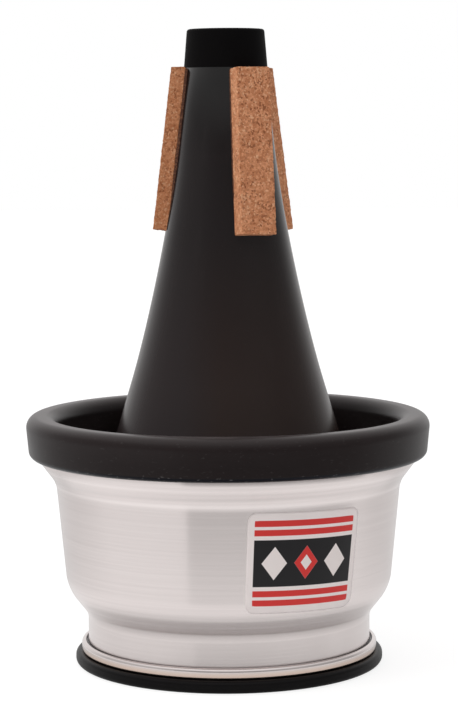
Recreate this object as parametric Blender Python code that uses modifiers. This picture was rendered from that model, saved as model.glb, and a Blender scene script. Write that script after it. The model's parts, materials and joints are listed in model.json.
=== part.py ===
"""Trumpet cup mute: a corked cone that plugs the bell, with an adjustable spun cup around it.

Metres, +Z up. The origin is the centre of the base plate's underside. The mute stands
on its base plate with the narrow throat at the top, and its front faces -Y.
"""
import math

import bmesh
import bpy
from mathutils import Matrix, Vector

# Clearances
SEAT_GAP = 0.0003           # between two pieces that seat on each other
NECK_GAP = 0.0006           # between the cone's skirt and the cup's neck that slides on it

# Facets
TURN_STEPS = 48             # facets round every turned piece
RING_ARC_STEP = math.radians(90)
ARC_STEP = math.radians(30)  # turned arcs get one profile point for each such angle

# Base plate: moulded disc that closes the wide end
BASE_RADIUS = 0.0518
BASE_HEIGHT = 0.0042
BASE_TOP_ROUND = 0.0016
BASE_FOOT_ROUND = 0.0017
FOOT_WIDTH = 0.0100         # flat ring that the mute stands on
RECESS_DEPTH = 0.0015
PANEL_THICKNESS = 0.0021
PANEL_ROUND = 0.0010
SPIGOT_WALL = 0.0017
SPIGOT_HEIGHT = 0.0078      # above the plate, inside the cone's skirt

# Cone: spun body, a slim upper taper flaring into a wider one, then a straight skirt
CONE_LENGTH = 0.2055
CONE_WALL = 0.0012
THROAT_RADIUS = 0.0117
UPPER_TAPER = math.radians(6.7)
FLARE_RADIUS = 0.450
LOWER_TAPER = math.radians(16.75)
SKIRT_RADIUS = 0.0462
SKIRT_LENGTH = 0.0438
SKIRT_ROUND = 0.0060
FLARE_STEP = math.radians(1.6)

# Throat collar: sleeve over the narrow end, with an inward lip on top
COLLAR_LENGTH = 0.0122
COLLAR_LIP = 0.0013
COLLAR_BORE = 0.0097
COLLAR_TOP_RADIUS = 0.0128
COLLAR_WALL = 0.0006        # at its open lower edge
COLLAR_ROUND = 0.0009

# Cork strips: flat outside, hollowed inside to the cone, cut and glued on by hand
STRIP_TOP_WIDTH = 0.0123
STRIP_FOOT_WIDTH = 0.0131
STRIP_LENGTH = 0.0552
STRIP_TOP_THICKNESS = 0.0047
STRIP_FOOT_THICKNESS = 0.0038
STRIP_EDGE_ROUND = 0.0004
STRIP_TRIMS = (0.0, 0.0010, 0.0003)     # cut off the foot of each strip
STRIP_AZIMUTHS = (28.0, -96.0, 134.5)   # degrees from the front, towards +X
STRIP_LEANS = (1.2, -1.4, 2.9)          # degrees, top towards the larger azimuth

# Cup: spun sheet, from the rolled bead at its foot to the plain edge inside the rim edging
CUP_WALL = 0.0007
BEAD_STAND = 0.0023         # how far the bead stands out from the neck
BEAD_HEIGHT = 0.0035
BEAD_TOP_ROUND = 0.0015
BEAD_FOOT_ROUND = 0.0009
BEAD_ROOT_ROUND = 0.0003
NECK_LENGTH = 0.0128
COVE_ROUND = 0.0082
BOWL_FOOT_RADIUS = 0.0544
BOWL_FOOT_HEIGHT = 0.0216
BOWL_FOOT_ROUND = 0.0134
BOWL_TOP_RADIUS = 0.0578
BOWL_TOP_HEIGHT = 0.0571
BOWL_TOP_ROUND = 0.0055
RIM_RADIUS = 0.0629
RIM_HEIGHT = 0.0633
RIM_ROUND = 0.0015
RIM_EDGE = 0.0112           # straight edge above the flare, inside the edging

# Rim edging: slit rubber hose pushed over the cup's edge
EDGING_WALL = 0.0025
EDGING_HEIGHT = 0.0138
EDGING_GRIP = 0.0088        # how deep the cup's edge goes into it
EDGING_OUTER_TOP = 0.0057   # reach outwards from the sheet's middle, at the crest
EDGING_OUTER_FOOT = 0.0036
EDGING_INNER = 0.0055       # reach inwards
EDGING_OUTER_ROUND = 0.0039
EDGING_INNER_ROUND = 0.0045
EDGING_FOOT_ROUND = 0.0028

# Friction ring: square-cut rubber ring in the bead's channel, gripping the skirt
RING_ROUND = 0.0005

# Heights and radii that follow from the sizes above
SKIRT_FOOT = BASE_HEIGHT + SEAT_GAP
CONE_TOP = SKIRT_FOOT + CONE_LENGTH
SKIRT_TOP = SKIRT_FOOT + SKIRT_LENGTH
COLLAR_TOP = CONE_TOP + SEAT_GAP + COLLAR_LIP
COLLAR_FOOT = COLLAR_TOP - COLLAR_LENGTH
CUP_FOOT = BASE_HEIGHT + SEAT_GAP
NECK_BORE = SKIRT_RADIUS + NECK_GAP
NECK_RADIUS = NECK_BORE + CUP_WALL
BEAD_RADIUS = NECK_RADIUS + BEAD_STAND
CUP_EDGE = CUP_FOOT + RIM_HEIGHT + RIM_EDGE
EDGING_FOOT = CUP_EDGE - EDGING_GRIP


def clear_scene():
    for item in list(bpy.data.objects):
        bpy.data.objects.remove(item, do_unlink=True)


def new_collection(name):
    collection = bpy.data.collections.new(name)
    bpy.context.scene.collection.children.link(collection)
    return collection


def make_material(name, colour, roughness, metallic=0.0):
    material = bpy.data.materials.new(name)
    material.use_nodes = True
    shader = material.node_tree.nodes["Principled BSDF"]
    shader.inputs["Base Color"].default_value = (*colour, 1.0)
    shader.inputs["Roughness"].default_value = roughness
    shader.inputs["Metallic"].default_value = metallic
    material.diffuse_color = (*colour, 1.0)
    return material


def rounded(corners, step=ARC_STEP):
    """Profile through corners (radius, height, round), each round drawn as an arc."""
    points = []
    last = len(corners) - 1
    for index, (radius, height, fillet) in enumerate(corners):
        corner = Vector((radius, height))
        if fillet == 0 or index in (0, last):
            points.append(corner)
            continue
        before = (Vector(corners[index - 1][:2]) - corner).normalized()
        after = (Vector(corners[index + 1][:2]) - corner).normalized()
        half_angle = before.angle(after) / 2
        centre = corner + (before + after).normalized() * fillet / math.sin(half_angle)
        start = corner + before * fillet / math.tan(half_angle) - centre
        sweep = start.angle_signed(corner + after * fillet / math.tan(half_angle) - centre)
        pieces = math.ceil(abs(sweep) / step - 0.01)
        for piece in range(pieces + 1):
            turn = Matrix.Rotation(-sweep * piece / pieces, 2)
            points.append(centre + turn @ start)
    return points


def profile_object(name, points, collection, closed=False):
    """Object whose mesh is the profile's edges, standing at +X in the XZ plane."""
    mesh = bpy.data.meshes.new(name)
    outline = bmesh.new()
    corners = [outline.verts.new((point[0], 0.0, point[1])) for point in points]
    for first, second in zip(corners, corners[1:]):
        outline.edges.new((first, second))
    if closed:
        outline.edges.new((corners[-1], corners[0]))
    outline.to_mesh(mesh)
    outline.free()
    item = bpy.data.objects.new(name, mesh)
    collection.objects.link(item)
    return item


def turned(name, points, collection, material=None, wall=None, closed=False):
    """Turned piece; the profile runs down its outer side. A wall makes an open sheet a shell."""
    item = profile_object(name, points, collection, closed)
    screw = item.modifiers.new("turn", "SCREW")
    screw.steps = TURN_STEPS
    screw.render_steps = TURN_STEPS
    screw.use_merge_vertices = True
    screw.merge_threshold = 0.00001
    if wall is not None:
        shell = item.modifiers.new("wall", "SOLIDIFY")
        shell.thickness = wall
        shell.offset = -1.0
        shell.use_even_offset = True
    if material is not None:
        item.data.materials.append(material)
    return item


def flare_corner():
    """Where the upper and the lower taper of the cone's outline would meet."""
    rise = (THROAT_RADIUS + CONE_TOP * math.tan(UPPER_TAPER)
            - SKIRT_RADIUS - SKIRT_TOP * math.tan(LOWER_TAPER))
    height = -rise / (math.tan(LOWER_TAPER) - math.tan(UPPER_TAPER))
    return upper_cone_radius(height), height


def upper_cone_radius(height):
    """Outer radius of the cone's straight upper taper."""
    return THROAT_RADIUS + (CONE_TOP - height) * math.tan(UPPER_TAPER)


def cone_outline():
    flare_radius, flare_height = flare_corner()
    upper = rounded([
        (THROAT_RADIUS, CONE_TOP, 0),
        (flare_radius, flare_height, FLARE_RADIUS),
        (SKIRT_RADIUS, SKIRT_TOP, 0),
    ], FLARE_STEP)
    skirt = rounded([
        (*upper[-2], 0),
        (SKIRT_RADIUS, SKIRT_TOP, SKIRT_ROUND),
        (SKIRT_RADIUS, SKIRT_FOOT, 0),
    ], ARC_STEP / 4)
    return upper[:-1] + skirt[1:]


def radius_on(outline, height):
    """Radius of a falling outline at a height, read along its straight stretches."""
    for above, below in zip(outline, outline[1:]):
        if below[1] <= height <= above[1]:
            share = (above[1] - height) / (above[1] - below[1])
            return above[0] + (below[0] - above[0]) * share
    return outline[-1][0]


def mute_cone(collection):
    material = make_material("cone_black", (0.021, 0.018, 0.018), 0.32)
    return turned("mute_cone", cone_outline(), collection, material, CONE_WALL)


def base_plate(collection):
    material = make_material("base_black", (0.018, 0.017, 0.018), 0.45)
    spigot_radius = SKIRT_RADIUS - CONE_WALL - SEAT_GAP
    spigot_bore = spigot_radius - SPIGOT_WALL
    spigot_top = BASE_HEIGHT + SPIGOT_HEIGHT
    panel_top = RECESS_DEPTH + PANEL_THICKNESS
    recess_radius = BASE_RADIUS - BASE_FOOT_ROUND - FOOT_WIDTH
    outline = rounded([
        (0.0, panel_top, 0),
        (spigot_bore, panel_top, PANEL_ROUND),
        (spigot_bore, spigot_top, 0),
        (spigot_radius, spigot_top, 0),
        (spigot_radius, BASE_HEIGHT, 0),
        (BASE_RADIUS, BASE_HEIGHT, BASE_TOP_ROUND),
        (BASE_RADIUS, 0.0, BASE_FOOT_ROUND),
        (recess_radius, 0.0, 0),
        (recess_radius - RECESS_DEPTH, RECESS_DEPTH, 0),
        (0.0, RECESS_DEPTH, 0),
    ])
    return turned("base_plate", outline, collection, material)


def throat_collar(collection):
    material = make_material("collar_black", (0.008, 0.007, 0.007), 0.6)
    socket_foot = upper_cone_radius(COLLAR_FOOT) + SEAT_GAP
    socket_top = upper_cone_radius(CONE_TOP) + SEAT_GAP
    outline = rounded([
        (COLLAR_BORE, COLLAR_TOP, 0),
        (COLLAR_TOP_RADIUS, COLLAR_TOP, COLLAR_ROUND),
        (socket_foot + COLLAR_WALL, COLLAR_FOOT, 0),
        (socket_foot, COLLAR_FOOT, 0),
        (socket_top, CONE_TOP + SEAT_GAP, 0),
        (COLLAR_BORE, CONE_TOP + SEAT_GAP, 0),
    ])
    return turned("throat_collar", outline, collection, material, closed=True)


def cork_cutter(cutters):
    """Solid form of the cone, grown by the seat gap, that hollows the strips' inner faces."""
    outline = [(radius + SEAT_GAP / math.cos(LOWER_TAPER), height)
               for radius, height in cone_outline()]
    points = [(0.0, CONE_TOP), *outline, (0.0, SKIRT_FOOT)]
    cutter = turned("cone_form", points, cutters)
    cutter.hide_render = True
    cutter.display_type = "WIRE"
    return cutter


def cork_strip(number, azimuth, lean, trim, cutter, collection, material):
    """One strip: a block laid on the cone's slope, hollowed to fit it, level under the collar."""
    outline = cone_outline()
    length = STRIP_LENGTH - trim
    top = COLLAR_FOOT - SEAT_GAP
    top_reach = radius_on(outline, top) + STRIP_TOP_THICKNESS
    foot_reach = radius_on(outline, top - length) + STRIP_FOOT_THICKNESS
    tilt = math.asin((foot_reach - top_reach) / length)
    outer_middle = Vector((0, -top_reach, top))
    outer_middle -= Vector((0, math.sin(tilt), math.cos(tilt))) * length / 2

    block = bmesh.new()
    bmesh.ops.create_cube(block, size=1.0, matrix=Matrix.Translation((0, 0.5, 0)))
    bmesh.ops.scale(block, vec=(STRIP_TOP_WIDTH, top_reach, length), verts=block.verts)
    for vert in block.verts:
        if vert.co.z < 0:
            vert.co.x *= STRIP_FOOT_WIDTH / STRIP_TOP_WIDTH
        else:
            vert.co.z += vert.co.y * math.tan(tilt) + vert.co.x * math.tan(math.radians(lean))
    bmesh.ops.bevel(block, geom=block.edges[:], offset=STRIP_EDGE_ROUND, segments=1,
                    profile=0.5, affect="EDGES", material=-1)
    name = f"cork_strip_{number}"
    mesh = bpy.data.meshes.new(name)
    block.to_mesh(mesh)
    block.free()
    mesh.materials.append(material)
    strip = bpy.data.objects.new(name, mesh)
    collection.objects.link(strip)
    strip.matrix_world = (
        Matrix.Rotation(math.radians(azimuth), 4, "Z")
        @ Matrix.Translation(outer_middle)
        @ Matrix.Rotation(-tilt, 4, "X")
        @ Matrix.Rotation(math.radians(lean), 4, "Y")
    )
    hollow = strip.modifiers.new("cone_side", "BOOLEAN")
    hollow.operation = "DIFFERENCE"
    hollow.object = cutter
    return strip


def cup_bowl(collection):
    material = make_material("spun_aluminium", (0.70, 0.67, 0.66), 0.34, 1.0)
    outline = rounded([
        (RIM_RADIUS, CUP_EDGE, 0),
        (RIM_RADIUS, CUP_FOOT + RIM_HEIGHT, RIM_ROUND),
        (BOWL_TOP_RADIUS, CUP_FOOT + BOWL_TOP_HEIGHT, BOWL_TOP_ROUND),
        (BOWL_FOOT_RADIUS, CUP_FOOT + BOWL_FOOT_HEIGHT, BOWL_FOOT_ROUND),
        (NECK_RADIUS, CUP_FOOT + NECK_LENGTH, COVE_ROUND),
        (NECK_RADIUS, CUP_FOOT + BEAD_HEIGHT, BEAD_ROOT_ROUND),
        (BEAD_RADIUS, CUP_FOOT + BEAD_HEIGHT, BEAD_TOP_ROUND),
        (BEAD_RADIUS, CUP_FOOT, BEAD_FOOT_ROUND),
        (NECK_BORE, CUP_FOOT, 0),
    ])
    return turned("cup_bowl", outline, collection, material, CUP_WALL)


def rim_edging(collection):
    material = make_material("edging_rubber", (0.026, 0.022, 0.022), 0.5)
    middle = RIM_RADIUS - CUP_WALL / 2
    slit = CUP_WALL / 2 + SEAT_GAP
    crest = EDGING_FOOT + EDGING_HEIGHT
    outline = rounded([
        (middle - slit, EDGING_FOOT, 0),
        (middle - EDGING_INNER, EDGING_FOOT, EDGING_FOOT_ROUND),
        (middle - EDGING_INNER, crest, EDGING_INNER_ROUND),
        (middle + EDGING_OUTER_TOP, crest, EDGING_OUTER_ROUND),
        (middle + EDGING_OUTER_FOOT, EDGING_FOOT, EDGING_FOOT_ROUND),
        (middle + slit, EDGING_FOOT, 0),
    ])
    return turned("rim_edging", outline, collection, material, EDGING_WALL)


def friction_ring(collection):
    material = make_material("ring_rubber", (0.012, 0.012, 0.012), 0.7)
    inner = SKIRT_RADIUS + SEAT_GAP
    outer = BEAD_RADIUS - CUP_WALL - SEAT_GAP
    foot = CUP_FOOT + CUP_WALL + SEAT_GAP
    top = CUP_FOOT + BEAD_HEIGHT - CUP_WALL - SEAT_GAP
    middle = (inner + outer) / 2
    outline = rounded([
        (middle, top, 0),
        (outer, top, RING_ROUND),
        (outer, foot, RING_ROUND),
        (inner, foot, RING_ROUND),
        (inner, top, RING_ROUND),
        (middle, top, 0),
    ], RING_ARC_STEP)
    return turned("friction_ring", outline[:-1], collection, material, closed=True)


def build():
    clear_scene()
    parts = new_collection("trumpet_cup_mute")
    cutters = new_collection("cutters")

    mute_cone(parts)
    base_plate(parts)
    throat_collar(parts)
    cutter = cork_cutter(cutters)
    cork = make_material("cork", (0.50, 0.24, 0.13), 0.9)
    hand_set = zip(STRIP_AZIMUTHS, STRIP_LEANS, STRIP_TRIMS)
    for number, (azimuth, lean, trim) in enumerate(hand_set, start=1):
        cork_strip(number, azimuth, lean, trim, cutter, parts, cork)

    # The ring and the cup slide up the skirt along this axis, and the cup turns about it
    cup_axis = bpy.data.objects.new("cup_axis", None)
    parts.objects.link(cup_axis)
    for piece in (friction_ring(parts), cup_bowl(parts), rim_edging(parts)):
        piece.parent = cup_axis


build()
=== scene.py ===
"""Trumpet cup mute: fine forms, finishes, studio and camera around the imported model.

Metres, +Z up, front facing -Y. Each turned piece is spun from a profile, a list of corners
written as (radius, height, round of the corner, segments of that round).
"""
import json
import math

import bmesh
import bpy
from mathutils import Matrix, Vector, noise


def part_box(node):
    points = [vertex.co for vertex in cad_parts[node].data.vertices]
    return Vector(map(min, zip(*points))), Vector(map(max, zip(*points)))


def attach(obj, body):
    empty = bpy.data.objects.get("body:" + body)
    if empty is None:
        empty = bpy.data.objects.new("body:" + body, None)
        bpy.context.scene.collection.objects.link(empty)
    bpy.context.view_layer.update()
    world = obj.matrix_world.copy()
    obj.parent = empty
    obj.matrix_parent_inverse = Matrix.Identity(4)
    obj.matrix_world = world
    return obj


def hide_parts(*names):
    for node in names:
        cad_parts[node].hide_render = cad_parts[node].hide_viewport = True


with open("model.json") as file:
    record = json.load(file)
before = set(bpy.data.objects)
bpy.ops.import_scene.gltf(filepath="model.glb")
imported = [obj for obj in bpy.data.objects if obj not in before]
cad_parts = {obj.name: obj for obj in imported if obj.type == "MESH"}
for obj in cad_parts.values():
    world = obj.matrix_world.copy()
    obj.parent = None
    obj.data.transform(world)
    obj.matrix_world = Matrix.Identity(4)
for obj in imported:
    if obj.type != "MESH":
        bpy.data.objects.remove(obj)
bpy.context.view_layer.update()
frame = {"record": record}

TURN_STEPS = 240
SMALL_TURN_STEPS = 160
ARC_SEGMENTS = 8
SEAM_MERGE = 0.000002
SHARP_ANGLE = math.radians(32)
SEAT_GAP = 0.0003

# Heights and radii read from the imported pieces
CONE_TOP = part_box("mute_cone")[1].z
SKIRT_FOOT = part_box("mute_cone")[0].z
SKIRT_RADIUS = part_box("mute_cone")[1].x
COLLAR_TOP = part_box("throat_collar")[1].z
COLLAR_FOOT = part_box("throat_collar")[0].z
COLLAR_FOOT_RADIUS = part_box("throat_collar")[1].x
BASE_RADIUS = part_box("base_plate")[1].x
SPIGOT_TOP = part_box("base_plate")[1].z
CUP_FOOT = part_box("cup_bowl")[0].z
CUP_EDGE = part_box("cup_bowl")[1].z
RIM_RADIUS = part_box("cup_bowl")[1].x
EDGING_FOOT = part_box("rim_edging")[0].z
EDGING_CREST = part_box("rim_edging")[1].z

# Cone: slim upper taper, long flare, wider taper, straight skirt
CONE_WALL = 0.0012
THROAT_RADIUS = 0.0117
UPPER_TAPER = math.tan(math.radians(6.7))
LOWER_TAPER = math.tan(math.radians(16.75))
FLARE_RADIUS = 0.450
SKIRT_TOP = SKIRT_FOOT + 0.0438
SKIRT_ROUND = 0.0060

# Where the cone's tone changes: painted shade just below the collar, a lighter tone towards the
# cup, and a change from left to right
CONE_COLLAR_SHADE = 0.182
CONE_LOWER_TONE = 0.115
CONE_SIDE_TONE = -0.008

# Collar: sleeve with a lip inside; its hem hangs a little below the solid's foot
COLLAR_HEM = COLLAR_FOOT - 0.0005
COLLAR_BORE = 0.0097
COLLAR_TOP_RADIUS = 0.0128

# Base disc: panel, hollow spigot, and the recess below, inside the rim that it stands on
PANEL_TOP = 0.0036
SPIGOT_WALL = 0.0017
RECESS_DEPTH = 0.0015
STANDING_RIM = 0.0117

# Cup: spun sheet with a rolled bead at its foot
CUP_WALL = 0.00055
NECK_RADIUS = SKIRT_RADIUS + 0.0013
BORE_CLEARANCE = 0.0006
BEAD_RADIUS = NECK_RADIUS + 0.0023
BEAD_TOP = CUP_FOOT + 0.00335
BEAD_FOOT = CUP_FOOT - 0.0002
GROOVE_DEPTH = 0.0009
GROOVE_FLOOR = 0.0006
GROOVE_MOUTH = 0.0009
NECK_TOP = CUP_FOOT + 0.0128
BOWL_FOOT = (0.0544, CUP_FOOT + 0.0216)
BOWL_TOP = (0.0578, CUP_FOOT + 0.0571)
RIM_TURN = CUP_FOOT + 0.0639
# Heights of two painted highlight bands and a painted shade line in the bowl's reflection
HIGHLIGHT_LOWER = CUP_FOOT + 0.0566
HIGHLIGHT_UPPER = CUP_FOOT + 0.0620
SHADE_LINE = CUP_FOOT + 0.0591

# Friction ring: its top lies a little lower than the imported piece's
RING_EASE = 0.0003

# Rim edging: slit hose closed over the cup's edge, with its reach on both sides of the sheet
EDGING_WALL = 0.0025
SHEET_MIDDLE = RIM_RADIUS - 0.00035
EDGING_SLIT = 0.00065
EDGING_HEM = EDGING_FOOT - 0.0002
EDGING_REACH_IN = 0.0055
EDGING_REACH_CREST = 0.0054
EDGING_REACH_FOOT = 0.0041

# Cork strips, with one entry for each: how much of its length is cut off, how much higher
# it sits, its lean in degrees, and whether its upper end is cut level
STRIP_TOP_WIDTH = 0.0123
STRIP_FOOT_WIDTH = 0.0131
STRIP_LENGTH = 0.0552
STRIP_TRIMS = (0.0004, 0.0010, 0.0003)
STRIP_LIFTS = (0.0002, 0.0003, 0.0)
STRIP_LEANS = (1.6, -1.4, 2.9)
STRIP_ENDS_LEVEL = (False, True, True)
STRIP_EDGE_ROUND = 0.00035
CORK_DEPTH = 0.0051
CORK_CELL = 0.0006
CORK_MERGE = 0.00001
# Left of this the cork is painted darker, as shade
SHADED_SIDE = -0.012

# Crumbled cork: its depth, how far it sinks on the whole, and the two sizes of crumb
CRUMBLE = 0.00015
CRUMB_SINK = 0.9
COARSE_CRUMB = 1100.0
FINE_CRUMB = 2600.0
FINE_CRUMB_SHARE = 0.7

# Glue in the wedge between each strip and the cone, set back from the strip's sides
GLUE_DEPTH = 0.0075
GLUE_OVERLAP = 0.0004
GLUE_NARROWER = 0.0004
GLUE_SHORTER = 0.0008
GLUE_GAP = 0.00005

# How the strips are fitted: gap to the collar, near enough to the cone, and most tries
HEM_GAP = 0.0001
NEAR_ENOUGH = 0.000001
FITTING_TRIES = 6

# Label: printed film on the front of the bowl
LABEL_WIDTH = 0.0410
LABEL_HEIGHT = 0.0330
LABEL_ROUND = 0.0032
LABEL_AZIMUTH = math.radians(26.0)
LABEL_MIDDLE = 0.0424
LABEL_TURN = math.radians(-1.5)
FILM = 0.00005

# Label's print, in millimetres from its middle
FIELD_HALF_WIDTH = 18.2
FIELD_HALF_HEIGHT = 7.6
RULE_HEIGHTS = (9.9, 12.9)
RULE_HALF_HEIGHT = 1.0
LOZENGE_PITCH = 11.2
LOZENGE_SLOPE = 1.25
LOZENGE_REACH = 5.4
HEART_REACH = 2.5
PRINT_SOFTNESS = 0.14

# Studio: the lamp's target, and the slanting line on the floor where the grey zone begins
MUTE_MIDDLE = (0, 0, 0.1)
ZONE_TURN = math.radians(27.9)
ZONE_LEFT = 0.0132
ZONE_AHEAD = 0.0555

# Camera fitted to the photograph's outline
CAMERA_LENS = 118.26
CAMERA_SENSOR = 36.0
CAMERA_PLACE = (0.0005, -0.7907, 0.1819)
CAMERA_PITCH = math.radians(90 - 5.814)
CAMERA_ROLL = math.radians(-0.34)


class Value:
    """A shader socket to write sums with: each sign adds its Math node."""

    def __init__(self, nodes, socket):
        self.nodes = nodes
        self.socket = socket

    def math(self, operation, *others, first=None):
        """A Math node on this value and the others, or on first and this value."""
        items = (self, *others) if first is None else (first, self)
        node = self.nodes.node("ShaderNodeMath", {"operation": operation}, {})
        for slot, item in enumerate(items):
            self.nodes.feed(node.inputs[slot], item)
        return Value(self.nodes, node.outputs[0])

    def __add__(self, other):
        return self.math("ADD", other)

    def __mul__(self, other):
        return self.math("MULTIPLY", other)

    __radd__ = __add__
    __rmul__ = __mul__

    def __sub__(self, other):
        return self.math("SUBTRACT", other)

    def __rsub__(self, other):
        return self.math("SUBTRACT", first=other)

    def __truediv__(self, other):
        return self.math("DIVIDE", other)

    def __neg__(self):
        return self * -1.0

    def __abs__(self):
        return self.math("ABSOLUTE")

    def clamped(self):
        return self.math("MINIMUM", 1.0).math("MAXIMUM", 0.0)

    def above(self, level, softness):
        """0 below the level and 1 above it, with a soft step between."""
        return ((self - level) / softness + 0.5).clamped()

    def below(self, level, softness):
        return 1 - self.above(level, softness)

    def near(self, level, reach, softness):
        """1 within reach of the level, 0 away from it."""
        return abs(self - level).below(reach, softness)


class Nodes:
    """A node tree under construction."""

    def __init__(self, tree):
        self.tree = tree

    def feed(self, socket, item):
        if isinstance(item, Value):
            item = item.socket
        if isinstance(item, bpy.types.NodeSocket):
            self.tree.links.new(item, socket)
        elif socket.type == "RGBA" and len(item) == 3:
            socket.default_value = (*item, 1.0)
        else:
            socket.default_value = item

    def node(self, kind, settings, sockets):
        node = self.tree.nodes.new(kind)
        for name, setting in settings.items():
            setattr(node, name, setting)
        for name, item in sockets.items():
            self.feed(node.inputs[name], item)
        return node

    def split(self, vector):
        node = self.node("ShaderNodeSeparateXYZ", {}, {"Vector": vector})
        return [Value(self, node.outputs[axis]) for axis in "XYZ"]

    def place(self, output="Object"):
        return self.node("ShaderNodeTexCoord", {}, {}).outputs[output]

    def stretched(self, vector, scales):
        return self.node("ShaderNodeMapping", {}, {"Vector": vector, "Scale": scales}).outputs[0]

    def noise(self, vector, scale, detail=3.0, roughness=0.5):
        node = self.node("ShaderNodeTexNoise", {}, {
            "Vector": vector, "Scale": scale, "Detail": detail, "Roughness": roughness})
        return Value(self, node.outputs[0])

    def granules(self, vector, scale):
        """Two random numbers for each cell, and the distance to the cell's edge."""
        cells = self.node("ShaderNodeTexVoronoi", {}, {"Vector": vector, "Scale": scale})
        edges = self.node("ShaderNodeTexVoronoi", {"feature": "DISTANCE_TO_EDGE"}, {
            "Vector": vector, "Scale": scale})
        pick = self.node("ShaderNodeSeparateColor", {}, {"Color": cells.outputs["Color"]})
        return (Value(self, pick.outputs[0]), Value(self, pick.outputs[1]),
                Value(self, edges.outputs["Distance"]))

    def mix(self, factor, first, second):
        node = self.node("ShaderNodeMix", {"data_type": "RGBA"}, {})
        self.feed(node.inputs[0], factor)
        self.feed(node.inputs[6], first)
        self.feed(node.inputs[7], second)
        return node.outputs[2]

    def bump(self, height, distance, strength=1.0):
        return self.node("ShaderNodeBump", {}, {
            "Height": height, "Distance": distance, "Strength": strength}).outputs[0]


class Finish(Nodes):
    """A material under construction, on its Principled shader."""

    def __init__(self, name):
        self.material = bpy.data.materials.new(name)
        self.material.use_nodes = True
        super().__init__(self.material.node_tree)

    def coat(self, **sockets):
        shader = self.tree.nodes["Principled BSDF"]
        for name, item in sockets.items():
            self.feed(shader.inputs[name.replace("_", " ")], item)
        return self.material


def satin_black():
    """Cone: sprayed satin black, with a faint orange peel, rub marks and dust, and painted shade
    under the collar.
    """
    make = Finish("cone_satin_black")
    where = make.place()
    x, _, z = make.split(where)
    peel = make.noise(where, 700.0, 2.0)
    drawn = make.noise(make.stretched(where, (1.0, 1.0, 0.12)), 260.0, 4.0, 0.6)
    patch = make.noise(where, 26.0, 3.0)
    speck = make.noise(where, 1500.0, 1.0).above(0.80, 0.04)
    rubbed = drawn.above(0.60, 0.12) * patch.above(0.52, 0.15)
    # Painted shade: the cone goes nearly black just below the collar
    top = z.above(CONE_COLLAR_SHADE, 0.024)
    worn = (0.05 * rubbed + 0.5 * speck + 0.08 * patch).clamped() * (1 - 0.8 * top)
    upper = make.mix(top, (0.0098, 0.0070, 0.0074), (0.0010, 0.0006, 0.0007))
    lower = make.mix(x.above(CONE_SIDE_TONE, 0.012),
                     (0.0205, 0.0140, 0.0145), (0.0225, 0.0118, 0.0092))
    black = make.mix(z.below(CONE_LOWER_TONE, 0.060), upper, lower)
    colour = make.mix(worn, black, (0.045, 0.038, 0.037))
    roughness = 0.21 + 0.05 * patch + 0.03 * rubbed - 0.06 * top
    return make.coat(Base_Color=colour, Roughness=roughness, Specular_IOR_Level=0.25,
                     Normal=make.bump(peel, 0.00003, 0.10))


def collar_rubber():
    """Throat collar: dead black rubber with a moulded grain, and a painted highlight along its
    upper edge.
    """
    make = Finish("collar_rubber")
    where = make.place()
    z = make.split(where)[2]
    grain = make.noise(where, 2600.0, 3.0)
    cloud = make.noise(where, 170.0, 3.0)
    # Painted highlight along the collar's upper edge
    edge = z.above(COLLAR_TOP - 0.0005, 0.0008)
    colour = make.mix((0.5 * edge + 0.3 * cloud).clamped(),
                      (0.0024, 0.0020, 0.0022), (0.0068, 0.0060, 0.0064))
    return make.coat(Base_Color=colour, Roughness=0.55 + 0.2 * cloud, Specular_IOR_Level=0.05,
                     Normal=make.bump(grain, 0.00004, 0.6))


def base_black():
    """Base plate: satin moulded black, scuffed where it stands."""
    make = Finish("base_moulded_black")
    where = make.place()
    z = make.split(where)[2]
    grain = make.noise(where, 1500.0, 3.0)
    scuff = make.noise(make.stretched(where, (1.0, 1.0, 0.2)), 420.0, 5.0, 0.65)
    worn = z.below(0.0004, 0.0006) * scuff.above(0.55, 0.12)
    colour = make.mix(0.5 * worn + 0.06 * scuff, (0.0022, 0.0016, 0.0020), (0.040, 0.037, 0.036))
    return make.coat(Base_Color=colour, Roughness=0.30 + 0.12 * scuff + 0.2 * worn,
                     Specular_IOR_Level=0.12, Normal=make.bump(grain, 0.00004, 0.4))


def hose_rubber():
    """Rim edging: soft black hose with a painted highlight and glints on its crest, and painted
    shade and lint on its lower edge.
    """
    make = Finish("edging_hose_rubber")
    where = make.place()
    z = make.split(where)[2]
    grain = make.noise(where, 1900.0, 3.0)
    bloom = make.noise(where, 52.0, 4.0, 0.6)
    drawn = make.noise(make.stretched(where, (1.0, 1.0, 9.0)), 110.0, 3.0)
    lint = make.noise(make.stretched(where, (1.0, 1.0, 2.2)), 620.0, 2.0, 0.6)
    hem = EDGING_FOOT + 0.0012
    specks = lint.above(0.67, 0.05) * (0.08 + 0.7 * z.below(hem, 0.0016))
    shade = make.mix((0.55 * bloom + 0.35 * drawn).clamped(),
                     (0.0072, 0.0034, 0.0035), (0.0142, 0.0090, 0.0092))
    # Painted shade on the lower edge tucked against the cup; the metallic setting there dims its
    # reflection too
    shaded_foot = z.below(hem, 0.0006)
    dark = make.mix(0.9 * shaded_foot, shade, (0.0055, 0.0068, 0.0105))
    # Painted highlight along the crest and the hose's upper side, with painted glints on the crest
    crest = (0.11 * z.above(EDGING_CREST - 0.0012, 0.0020)
             + 0.03 * z.above(EDGING_CREST - 0.0062, 0.0070))
    glint = 0.30 * z.above(EDGING_CREST - 0.00012, 0.00020) * bloom.above(0.50, 0.40)
    crest_lit = make.mix(crest + glint, dark, (0.205, 0.18, 0.18))
    colour = make.mix(specks, crest_lit, (0.16, 0.155, 0.155))
    return make.coat(Base_Color=colour, Roughness=0.26 + 0.12 * bloom,
                     Metallic=0.85 * shaded_foot, Specular_IOR_Level=0.18,
                     Normal=make.bump(0.4 * grain + 0.6 * drawn, 0.00006, 0.4))


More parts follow.
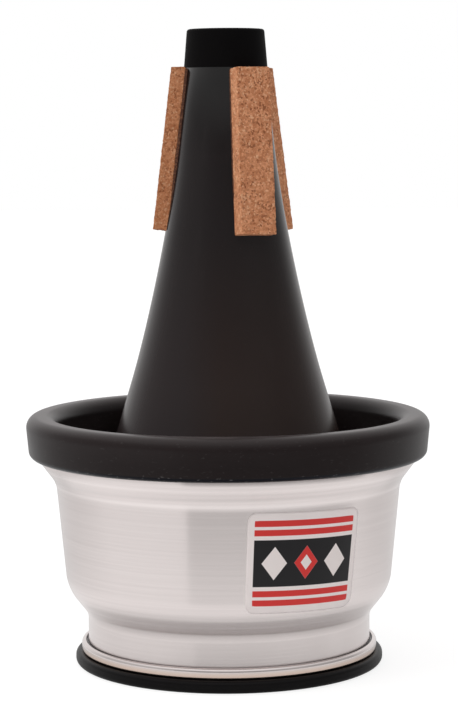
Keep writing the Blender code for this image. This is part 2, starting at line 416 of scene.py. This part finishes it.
def ring_rubber():
    """Friction ring: plain matte rubber."""
    make = Finish("friction_ring_rubber")
    grain = make.noise(make.place(), 2400.0, 3.0)
    colour = make.mix(grain, (0.004, 0.004, 0.004), (0.012, 0.012, 0.012))
    return make.coat(Base_Color=colour, Roughness=0.62 + 0.15 * grain, Specular_IOR_Level=0.2,
                     Normal=make.bump(grain, 0.00004, 0.6))


def turned_aluminium():
    """Cup: spun sheet with its turning grain, painted light and shade bands, painted shade in the
    groove.
    """
    make = Finish("cup_turned_aluminium")
    where = make.place()
    x, y, z = make.split(where)
    fine = make.noise(make.stretched(where, (14.0, 14.0, 3400.0)), 1.0, 3.0, 0.65)
    lines = make.noise(make.stretched(where, (7.0, 7.0, 1500.0)), 1.0, 3.0, 0.6)
    broad = make.noise(make.stretched(where, (4.0, 4.0, 90.0)), 1.0, 2.0)
    smudge = make.noise(where, 36.0, 4.0, 0.6)
    tone = 0.4 * lines.above(0.5, 0.6) + 0.2 * broad + 0.4 * fine.above(0.5, 0.6)
    spun_metal = make.mix(tone, (0.735, 0.668, 0.654), (0.905, 0.838, 0.824))
    # Painted highlights: two bright bands standing in for the bowl's reflection
    painted_highlight = z.near(HIGHLIGHT_LOWER, 0.0005, 0.0010) + z.near(HIGHLIGHT_UPPER, 0.0005, 0.0014)
    highlit_metal = make.mix(0.7 * painted_highlight, spun_metal, (0.96, 0.888, 0.872))
    # Painted shade: the neck, the bead's lower face and a line in the bowl are darkened
    painted_shade = 0.10 * z.below(NECK_TOP, 0.004) + 0.26 * z.below(BEAD_TOP - 0.0012, 0.0006)
    painted_shade = painted_shade + 0.12 * z.near(SHADE_LINE, 0.0004, 0.0010)
    metal = make.mix(painted_shade, highlit_metal, (0.30, 0.28, 0.27))
    radius = (x * x + y * y).math("SQRT")
    # Painted shade in the narrow groove between the neck and the bead, which is rougher there too
    groove = (z.near(BEAD_TOP - 0.0006, 0.00044, 0.0002)
              * radius.below(NECK_RADIUS + 0.0012, 0.0004))
    # Painted reflection: a warm tint at the bead's foot
    warm_reflection = z.below(CUP_FOOT + 0.0016, 0.0012)
    tinted = make.mix(0.65 * warm_reflection, metal, (0.80, 0.60, 0.48))
    colour = make.mix(0.85 * groove, tinted, (0.075, 0.070, 0.074))
    bead = z.below(BEAD_TOP, 0.0003)
    roughness = 0.17 + 0.06 * fine + 0.05 * lines + 0.04 * smudge - 0.12 * bead + 0.3 * groove
    return make.coat(Base_Color=colour, Metallic=1.0, Roughness=roughness,
                     Anisotropic=0.93, Anisotropic_Rotation=0.25,
                     Normal=make.bump(0.6 * fine + 0.4 * lines, 0.00001, 0.8))


def ground_cork():
    """Cork strips: pressed granules from pale tan to dark brown, painted darker on the left as
    shade.
    """
    make = Finish("ground_cork")
    where = make.place()
    x = make.split(where)[0]
    wobble = make.node("ShaderNodeTexNoise", {}, {"Vector": where, "Scale": 1400.0, "Detail": 2.0})
    shaken = make.node("ShaderNodeVectorMath", {"operation": "MULTIPLY_ADD"}, {
        0: wobble.outputs["Color"], 1: (0.0005, 0.0005, 0.0005), 2: where}).outputs[0]
    shade, kind, edge = make.granules(shaken, 1750.0)
    coarse, _, gap = make.granules(shaken, 620.0)
    dust = make.noise(where, 5200.0, 3.0, 0.7)
    cloud = make.noise(where, 150.0, 3.0)
    # Painted shade on the strips at the left
    shaded_left = x.below(SHADED_SIDE, 0.006)
    sawn = make.node("ShaderNodeAttribute", {"attribute_name": "sawn_side"}, {})
    cut = Value(make, sawn.outputs["Fac"]) * (1 - shaded_left)
    tan = make.mix(shade, (0.55, 0.212, 0.094), (0.80, 0.375, 0.200))
    toned = make.mix(0.45 * coarse.above(0.72, 0.2), tan, (0.45, 0.150, 0.062))
    pale = make.mix(0.5 * kind.below(0.10, 0.06), toned, (0.93, 0.58, 0.36))
    dark = kind.above(0.86, 0.06) * (0.35 + 0.65 * cloud.above(0.45, 0.2)) * (1 - 0.3 * cut)
    spotted = make.mix(0.72 * dark, pale, (0.190, 0.052, 0.020))
    joined = make.mix(0.3 * edge.below(0.05, 0.06), spotted, (0.32, 0.100, 0.040))
    dusty = make.mix(0.25 * dust.above(0.62, 0.1), joined, (0.90, 0.54, 0.32))
    smoothed = make.mix(0.06 * cut, dusty, (0.80, 0.44, 0.28))
    # A little darker all over, and much darker at the left as painted shade
    shaded = make.mix(0.04 + 0.32 * shaded_left, smoothed, (0.24, 0.085, 0.030))
    pits = (0.8 * dark + 0.5 * edge.below(0.05, 0.06) + 0.3 * gap.below(0.04, 0.04)).clamped()
    return make.coat(Base_Color=shaded, Roughness=0.88, Specular_IOR_Level=0.2,
                     Normal=make.bump(1 - pits + 0.3 * dust, 0.00014, 0.65))


def dried_glue():
    """Contact glue in the wedge behind each strip, dark brown with cork dust stuck in it."""
    make = Finish("dried_glue")
    crumbs = make.noise(make.place(), 1700.0, 3.0, 0.7)
    colour = make.mix(crumbs.above(0.55, 0.12), (0.075, 0.026, 0.014), (0.20, 0.085, 0.045))
    return make.coat(Base_Color=colour, Roughness=0.5 + 0.3 * crumbs, Specular_IOR_Level=0.3,
                     Normal=make.bump(crumbs, 0.0003, 0.8))


def label_print():
    """Label: pale film printed with a black field, three lozenges and red rules."""
    make = Finish("label_print")
    sheet = make.node("ShaderNodeUVMap", {"uv_map": "label"}, {}).outputs[0]
    across, up, _ = make.split(sheet)
    across = across * (LABEL_WIDTH * 1000) - LABEL_WIDTH * 500
    up = up * (LABEL_HEIGHT * 1000) - LABEL_HEIGHT * 500
    soft = PRINT_SOFTNESS

    def lozenge(offset, reach):
        return (LOZENGE_SLOPE * abs(across - offset) + abs(up)).below(reach, soft)

    inside = across.near(0.0, FIELD_HALF_WIDTH, soft)
    field = up.near(0.0, FIELD_HALF_HEIGHT, soft) * inside
    inner_rule, outer_rule = [abs(up).near(height, RULE_HALF_HEIGHT, soft)
                              for height in RULE_HEIGHTS]
    rules = (inner_rule + outer_rule).clamped() * inside
    left, centre, right = [lozenge(offset, LOZENGE_REACH)
                           for offset in (-LOZENGE_PITCH, 0.0, LOZENGE_PITCH)]
    heart = lozenge(0.0, HEART_REACH)
    film = make.mix(make.noise(sheet, 9.0, 2.0), (0.88, 0.805, 0.79), (0.93, 0.855, 0.84))
    black = make.mix(field, film, (0.0095, 0.0085, 0.0100))
    white = make.mix(left + centre + right, black, (0.88, 0.81, 0.79))
    red = make.mix(centre, white, (0.70, 0.036, 0.032))
    middle = make.mix(heart, red, (0.88, 0.81, 0.79))
    ruled = make.mix(rules, middle, (0.70, 0.036, 0.032))
    return make.coat(Base_Color=ruled, Roughness=0.32 + 0.08 * make.noise(sheet, 30.0),
                     Specular_IOR_Level=0.3)


def outline_of(corners):
    """Wire profile in the XZ plane, with its corners rounded."""
    shape = bmesh.new()
    verts = [shape.verts.new((corner[0], 0.0, corner[1])) for corner in corners]
    for first, second in zip(verts, verts[1:]):
        shape.edges.new((first, second))
    for index in range(1, len(corners) - 1):
        fillet = corners[index][2]
        if fillet == 0:
            continue
        corner = Vector(corners[index][:2])
        before = Vector(corners[index - 1][:2]) - corner
        after = Vector(corners[index + 1][:2]) - corner
        tangent = fillet / math.tan(before.angle(after) / 2)
        segments = corners[index][3] if len(corners[index]) > 3 else ARC_SEGMENTS
        bmesh.ops.bevel(shape, geom=[verts[index]], offset=tangent, offset_type="OFFSET",
                        segments=segments, profile=0.5, affect="VERTICES", material=-1)
    return shape


def radius_table(corners):
    """Height and radius of each point of a profile, from the lowest up."""
    shape = outline_of(corners)
    table = sorted((vert.co.z, vert.co.x) for vert in shape.verts)
    shape.free()
    return table


def radius_at(table, height):
    """Radius at a height, read between the table's points and kept level beyond its ends."""
    for (low, first), (high, second) in zip(table, table[1:]):
        if low <= height <= high:
            return first + (second - first) * (height - low) / max(high - low, 1e-9)
    return table[0][1] if height < table[0][0] else table[-1][1]


def spun(corners, steps=TURN_STEPS):
    """Turned shape from a profile, seam and poles merged, normals outwards."""
    shape = outline_of(corners)
    bmesh.ops.spin(shape, geom=shape.verts[:] + shape.edges[:], cent=(0, 0, 0), axis=(0, 0, 1),
                   dvec=(0, 0, 0), angle=2 * math.pi, steps=steps, use_merge=True)
    bmesh.ops.remove_doubles(shape, verts=shape.verts, dist=SEAM_MERGE)
    bmesh.ops.recalc_face_normals(shape, faces=shape.faces)
    return shape


def finished(name, shape, material, body, node=None):
    """Object at the origin for a finished mesh, riding on its body; it may replace a node."""
    mesh = bpy.data.meshes.new(name)
    shape.to_mesh(mesh)
    shape.free()
    mesh.shade_smooth()
    mesh.set_sharp_from_angle(angle=SHARP_ANGLE)
    mesh.materials.append(material)
    piece = bpy.data.objects.new(name, mesh)
    bpy.context.scene.collection.objects.link(piece)
    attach(piece, body)
    if node:
        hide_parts(node)
    return piece


def walled(piece, wall):
    """Gives an open sheet its thickness, inwards."""
    shell = piece.modifiers.new("wall", "SOLIDIFY")
    shell.thickness = wall
    shell.offset = -1.0
    shell.use_even_offset = True


def cone_corners():
    """The cone's outline; the two tapers would meet in the flare's corner."""
    rise = THROAT_RADIUS + CONE_TOP * UPPER_TAPER - SKIRT_RADIUS - SKIRT_TOP * LOWER_TAPER
    height = -rise / (LOWER_TAPER - UPPER_TAPER)
    radius = THROAT_RADIUS + (CONE_TOP - height) * UPPER_TAPER
    return [
        (THROAT_RADIUS, CONE_TOP, 0),
        (radius, height, FLARE_RADIUS, 28),
        (SKIRT_RADIUS, SKIRT_TOP, SKIRT_ROUND, 10),
        (SKIRT_RADIUS, SKIRT_FOOT, 0),
    ]


def cup_corners():
    """The cup's outline, with the narrow groove where the rolled bead meets the neck."""
    groove = BEAD_TOP - GROOVE_DEPTH
    return [
        (RIM_RADIUS, CUP_EDGE, 0),
        (RIM_RADIUS, RIM_TURN, 0.0026),
        (*BOWL_TOP, 0.0085, 16),
        (*BOWL_FOOT, 0.0134, 16),
        (NECK_RADIUS, NECK_TOP, 0.0052, 14),
        (NECK_RADIUS, groove, 0.00018, 4),
        (NECK_RADIUS + GROOVE_FLOOR, groove, 0.00018, 4),
        (NECK_RADIUS + GROOVE_MOUTH, BEAD_TOP, 0.0003, 5),
        (BEAD_RADIUS, BEAD_TOP, 0.0013, 14),
        (BEAD_RADIUS, BEAD_FOOT, 0.0008, 8),
        (SKIRT_RADIUS + BORE_CLEARANCE, BEAD_FOOT, 0),
    ]


def cone_shell():
    piece = finished("cone_shell", spun(cone_corners()), satin_black(), "mute_body",
                     node="mute_cone")
    walled(piece, CONE_WALL)


def collar_sleeve():
    """Sleeve over the throat, with an inward lip over the cone's end."""
    socket_foot = THROAT_RADIUS + (CONE_TOP - COLLAR_HEM) * UPPER_TAPER + SEAT_GAP
    socket_top = THROAT_RADIUS + SEAT_GAP
    lip_foot = CONE_TOP + SEAT_GAP
    lip_middle = (COLLAR_TOP + lip_foot) / 2
    shape = spun([
        (COLLAR_BORE, lip_middle, 0),
        (COLLAR_BORE, COLLAR_TOP, 0.0004, 4),
        (COLLAR_TOP_RADIUS, COLLAR_TOP, 0.0009),
        (COLLAR_FOOT_RADIUS, COLLAR_HEM, 0.0001, 3),
        (socket_foot, COLLAR_HEM, 0.0001, 3),
        (socket_top, lip_foot, 0),
        (COLLAR_BORE, lip_foot, 0.0002, 3),
        (COLLAR_BORE, lip_middle, 0),
    ], SMALL_TURN_STEPS)
    sleeve = finished("collar_sleeve", shape, collar_rubber(), "mute_body",
                      node="throat_collar")
    sleeve.visible_glossy = False


def base_disc():
    """Moulded disc with a shallow recess below and the spigot that plugs the skirt."""
    spigot = SKIRT_RADIUS - CONE_WALL - SEAT_GAP
    bore = spigot - SPIGOT_WALL
    top = SKIRT_FOOT - SEAT_GAP
    recess_radius = BASE_RADIUS - STANDING_RIM
    shape = spun([
        (0.0, PANEL_TOP, 0),
        (bore, PANEL_TOP, 0.0010, 4),
        (bore, SPIGOT_TOP, 0.0004, 3),
        (spigot, SPIGOT_TOP, 0.0004, 3),
        (spigot, top, 0),
        (BASE_RADIUS, top, 0.0016),
        (BASE_RADIUS, 0.0, 0.0017),
        (recess_radius, 0.0, 0.0003, 3),
        (recess_radius - RECESS_DEPTH, RECESS_DEPTH, 0.0006, 4),
        (0.0, RECESS_DEPTH, 0),
    ])
    finished("base_disc", shape, base_black(), "mute_body",
             node="base_plate")


def cup_shell():
    piece = finished("cup_shell", spun(cup_corners()), turned_aluminium(), "cup",
                     node="cup_bowl")
    walled(piece, CUP_WALL)


def ring_cord():
    """Friction ring in the bead's channel, with its corners eased."""
    low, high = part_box("friction_ring")
    inner = SKIRT_RADIUS + SEAT_GAP
    middle = (inner + high.x) / 2
    top = high.z - RING_EASE
    shape = spun([
        (middle, top, 0),
        (high.x, top, 0.0005, 5),
        (high.x, low.z, 0.0005, 5),
        (inner, low.z, 0.0005, 5),
        (inner, top, 0.0005, 5),
        (middle, top, 0),
    ], SMALL_TURN_STEPS)
    finished("ring_cord", shape, ring_rubber(), "ring",
             node="friction_ring")


def edging_hose():
    shape = spun([
        (SHEET_MIDDLE - EDGING_SLIT, EDGING_HEM, 0),
        (SHEET_MIDDLE - EDGING_REACH_IN, EDGING_HEM, 0.0028),
        (SHEET_MIDDLE - EDGING_REACH_IN, EDGING_CREST, 0.0045, 12),
        (SHEET_MIDDLE + EDGING_REACH_CREST, EDGING_CREST, 0.0040, 12),
        (SHEET_MIDDLE + EDGING_REACH_FOOT, EDGING_HEM, 0.0022),
        (SHEET_MIDDLE + EDGING_SLIT, EDGING_HEM, 0),
    ])
    piece = finished("edging_hose", shape, hose_rubber(), "cup",
                     node="rim_edging")
    walled(piece, EDGING_WALL)


def strip_block(number, mount, slope, narrower, near, far, length, gap):
    """Block on the cone's slope, from one depth below the strip's face to another.

    What would stand inside the cone is drawn out to the gap, and the top clears the collar.
    """
    outward = Vector(mount["axis"]).normalized()
    tilt = math.asin(outward.z)
    lean = math.radians(STRIP_LEANS[number - 1])
    level = math.tan(tilt) if STRIP_ENDS_LEVEL[number - 1] else 0.0
    block = bmesh.new()
    bmesh.ops.create_cube(block, size=1.0, matrix=Matrix.Translation((0, 0.5, 0)))
    width = STRIP_FOOT_WIDTH - narrower
    bmesh.ops.scale(block, vec=(width, far - near, length), verts=block.verts)
    bmesh.ops.translate(block, vec=(0, near, 0), verts=block.verts)
    for vert in block.verts:
        if vert.co.z > 0:
            vert.co.x *= (STRIP_TOP_WIDTH - narrower) / width
            vert.co.z += vert.co.y * level + vert.co.x * math.tan(lean)
    bmesh.ops.bevel(block, geom=block.edges[:], offset=STRIP_EDGE_ROUND,
                    offset_type="OFFSET", segments=2, profile=0.5, affect="EDGES", material=-1)
    spans = ((0, -width / 2, width / 2), (1, near, far), (2, -length / 2, length / 2))
    for axis, low, high in spans:
        normal = Vector([float(axis == other) for other in range(3)])
        cuts = round((high - low) / CORK_CELL)
        for cut in range(1, cuts):
            bmesh.ops.bisect_plane(
                block, geom=block.verts[:] + block.edges[:] + block.faces[:],
                plane_co=normal * (low + (high - low) * cut / cuts), plane_no=normal)
    bmesh.ops.transform(block, verts=block.verts, matrix=(
        Matrix.Translation(Vector(mount["pos_m"]) + Vector((0, 0, STRIP_LIFTS[number - 1])))
        @ Matrix.Rotation(math.atan2(outward.x, -outward.y), 4, "Z")
        @ Matrix.Rotation(-tilt, 4, "X")
        @ Matrix.Rotation(lean, 4, "Y")))
    for vert in block.verts:
        for _ in range(FITTING_TRIES):
            reach = vert.co.xy.length
            depth = radius_at(slope, vert.co.z) + gap - reach
            if depth <= NEAR_ENOUGH:
                break
            vert.co += outward * depth * reach / max(vert.co.xy.dot(outward.xy), 0.001)
        if vert.co.xy.length < COLLAR_FOOT_RADIUS + HEM_GAP:
            vert.co.z = min(vert.co.z, COLLAR_HEM - HEM_GAP)
    bmesh.ops.remove_doubles(block, verts=block.verts, dist=CORK_MERGE)
    bmesh.ops.recalc_face_normals(block, faces=block.faces)
    return block


def cork_strip(number, mount, material, glue):
    """One strip with a crumbled surface, and the glue behind it.

    The strip isn't mirrored in the satin cone.
    """
    slope = radius_table(cone_corners())
    length = STRIP_LENGTH - STRIP_TRIMS[number - 1]
    block = strip_block(number, mount, slope, narrower=0.0, near=0.0, far=CORK_DEPTH,
                        length=length, gap=SEAT_GAP)
    sawn = block.verts.layers.float.new("sawn_side")
    for vert in block.verts:
        # How far the normal points away from the cone's axis: 1 on the face, 0 on a sawn side
        facing = abs(vert.normal.xy.dot(vert.co.xy)) / vert.co.xy.length
        vert[sawn] = min(max((0.7 - facing) / 0.3, 0.0), 1.0)
        if vert.co.xy.length > radius_at(slope, vert.co.z) + 2 * SEAT_GAP:
            crumb = noise.noise(vert.co * COARSE_CRUMB)
            crumb += FINE_CRUMB_SHARE * noise.noise(vert.co * FINE_CRUMB)
            vert.co -= vert.normal * CRUMBLE * (CRUMB_SINK + crumb)
    strip = finished(f"cork_{number}", block, material, "mute_body",
                     node=f"cork_strip_{number}")
    strip.visible_glossy = False
    wedge = strip_block(number, mount, slope, narrower=GLUE_NARROWER,
                        near=CORK_DEPTH - GLUE_OVERLAP, far=GLUE_DEPTH,
                        length=length - GLUE_SHORTER, gap=GLUE_GAP)
    finished(f"cork_glue_{number}", wedge, glue, "mute_body")


def label_film():
    """Round-cornered film bent round the bowl, a hair above the metal."""
    film = bmesh.new()
    bmesh.ops.create_grid(film, x_segments=56, y_segments=48, size=0.5)
    layer = film.loops.layers.uv.new("label")
    for face in film.faces:
        for loop in face.loops:
            loop[layer].uv = (loop.vert.co.x + 0.5, loop.vert.co.y + 0.5)
    bmesh.ops.scale(film, vec=(LABEL_WIDTH, LABEL_HEIGHT, 1.0), verts=film.verts)
    for vert in film.verts:
        over_x = abs(vert.co.x) - (LABEL_WIDTH / 2 - LABEL_ROUND)
        over_y = abs(vert.co.y) - (LABEL_HEIGHT / 2 - LABEL_ROUND)
        if over_x > 0 and over_y > 0:
            share = 1 - max(over_x, over_y) / math.hypot(over_x, over_y)
            vert.co.x -= math.copysign(over_x * share, vert.co.x)
            vert.co.y -= math.copysign(over_y * share, vert.co.y)
    bmesh.ops.rotate(film, cent=(0, 0, 0), matrix=Matrix.Rotation(LABEL_TURN, 3, "Z"),
                     verts=film.verts)
    table = radius_table(cup_corners()[1:5])
    for vert in film.verts:
        height = LABEL_MIDDLE + vert.co.y
        radius = radius_at(table, height) + FILM
        angle = LABEL_AZIMUTH + vert.co.x / BOWL_TOP[0]
        vert.co = (radius * math.sin(angle), -radius * math.cos(angle), height)
    bmesh.ops.recalc_face_normals(film, faces=film.faces)
    # An open sheet has no inside, so one face's place tells which way is out
    first = film.faces[:][0]
    if first.normal.dot(first.calc_center_median() * Vector((1, 1, 0))) < 0:
        bmesh.ops.reverse_faces(film, faces=film.faces)
    piece = finished("label_film", film, label_print(), "cup")
    walled(piece, FILM / 2)


def studio_world():
    """Soft studio: white to the camera; lighter behind and overhead, greyer elsewhere."""
    world = bpy.data.worlds.new("studio")
    bpy.context.scene.world = world
    world.use_nodes = True
    make = Nodes(world.node_tree)
    x, y, z = make.split(make.place("Generated"))
    bearing = x.math("ARCTAN2", -y)
    back = y.above(0.60, 0.5)
    right = bearing.above(0.9, 0.5) * (1 - back)
    front = y.below(-0.72, 0.4) * z.below(0.42, 0.3)
    level = 0.55 - 0.15 * right + 0.30 * back + 0.45 * z.above(0.60, 0.4) - 0.25 * front
    room = make.node("ShaderNodeBackground", {}, {"Color": (1.0, 0.985, 0.98), "Strength": level})
    shown = make.node("ShaderNodeBackground", {}, {"Color": (1.0, 1.0, 1.0), "Strength": 1.0})
    ray = make.node("ShaderNodeLightPath", {}, {})
    seen = Value(make, ray.outputs["Is Camera Ray"]).math(
        "MAXIMUM", Value(make, ray.outputs["Is Transmission Ray"]))
    choice = make.node("ShaderNodeMixShader", {}, {
        0: seen, 1: room.outputs[0], 2: shown.outputs[0]})
    make.feed(make.tree.nodes["World Output"].inputs["Surface"], choice.outputs[0])


def studio_floor():
    """Pale floor: white to the camera, with soft grey zones and a painted shadow by the mute's
    foot that only mirrors show.
    """
    floor = bmesh.new()
    bmesh.ops.create_grid(floor, x_segments=1, y_segments=1, size=4.0)
    mesh = bpy.data.meshes.new("floor")
    floor.to_mesh(mesh)
    floor.free()
    ground = bpy.data.objects.new("floor", mesh)
    bpy.context.scene.collection.objects.link(ground)
    paint = Finish("floor_white")
    mesh.materials.append(paint.coat(
        Base_Color=(0.88, 0.88, 0.88), Roughness=0.8, Specular_IOR_Level=0.1))
    x, y, _ = paint.split(paint.place())
    beyond = (x + ZONE_LEFT) * math.cos(ZONE_TURN) - (y + ZONE_AHEAD) * math.sin(ZONE_TURN)
    away = (x * x + y * y).math("SQRT")
    # In front, beyond the slanting line: a grey ring, and a wide grey field further out
    zone = beyond.above(0.0, 0.004) * y.below(-0.050, 0.06)
    dim = zone * (0.44 * away.near(0.180, 0.028, 0.05) + 0.54 * away.above(0.30, 0.10))
    # Lighter round the mute, greyer behind it, and a painted shadow close to its foot
    dim = dim - 0.13 * away.below(0.136, 0.03) + 0.15 * y.above(0.02, 0.14)
    dim = dim + 0.30 * away.below(0.066, 0.018)
    ray = paint.node("ShaderNodeLightPath", {}, {})
    camera = Value(paint, ray.outputs["Is Camera Ray"])
    mirrored = Value(paint, ray.outputs["Is Glossy Ray"]).math(
        "MAXIMUM", Value(paint, ray.outputs["Is Transmission Ray"]))
    level = 1.22 * camera + mirrored * (0.84 - 1.5 * dim)
    glow = paint.node("ShaderNodeEmission", {}, {"Color": (1.0, 1.0, 1.0), "Strength": level})
    choice = paint.node("ShaderNodeMixShader", {}, {
        0: 0.65 * camera.math("MAXIMUM", mirrored),
        1: paint.tree.nodes["Principled BSDF"].outputs[0], 2: glow.outputs[0]})
    paint.feed(paint.tree.nodes["Material Output"].inputs["Surface"], choice.outputs[0])


def soft_lamp(name, place, size, power):
    """Wide lamp aimed at the mute's middle, which nothing mirrors."""
    light = bpy.data.lights.new(name, "AREA")
    light.shape = "RECTANGLE"
    light.size, light.size_y = size
    light.energy = power
    lamp = bpy.data.objects.new(name, light)
    lamp.location = place
    aim = Vector(MUTE_MIDDLE) - Vector(place)
    lamp.rotation_euler = aim.to_track_quat("-Z", "Y").to_euler()
    lamp.visible_glossy = False
    bpy.context.scene.collection.objects.link(lamp)


def photo_camera():
    """Camera where the photograph was taken, with its slight roll."""
    settings = bpy.data.cameras.new("photo_camera")
    settings.lens = CAMERA_LENS
    settings.sensor_width = CAMERA_SENSOR
    camera = bpy.data.objects.new("photo_camera", settings)
    camera.location = CAMERA_PLACE
    pitch = Matrix.Rotation(CAMERA_PITCH, 4, "X")
    roll = Matrix.Rotation(CAMERA_ROLL, 4, "Z")
    camera.rotation_euler = (pitch @ roll).to_euler()
    bpy.context.scene.collection.objects.link(camera)
    bpy.context.scene.camera = camera


photo_camera()
cone_shell()
collar_sleeve()
base_disc()
cup_shell()
edging_hose()
ring_cord()
mounts = {mount["name"]: mount for mount in frame["record"]["mounts"]}
cork, glue = ground_cork(), dried_glue()
for number in (1, 2, 3):
    cork_strip(number, mounts[f"cork_face_{number}"], cork, glue)
label_film()
studio_world()
studio_floor()
soft_lamp("lamp_left", place=(-0.9, -0.5, 1.2), size=(0.9, 0.9), power=7.0)
bpy.context.scene.view_settings.view_transform = "Standard"
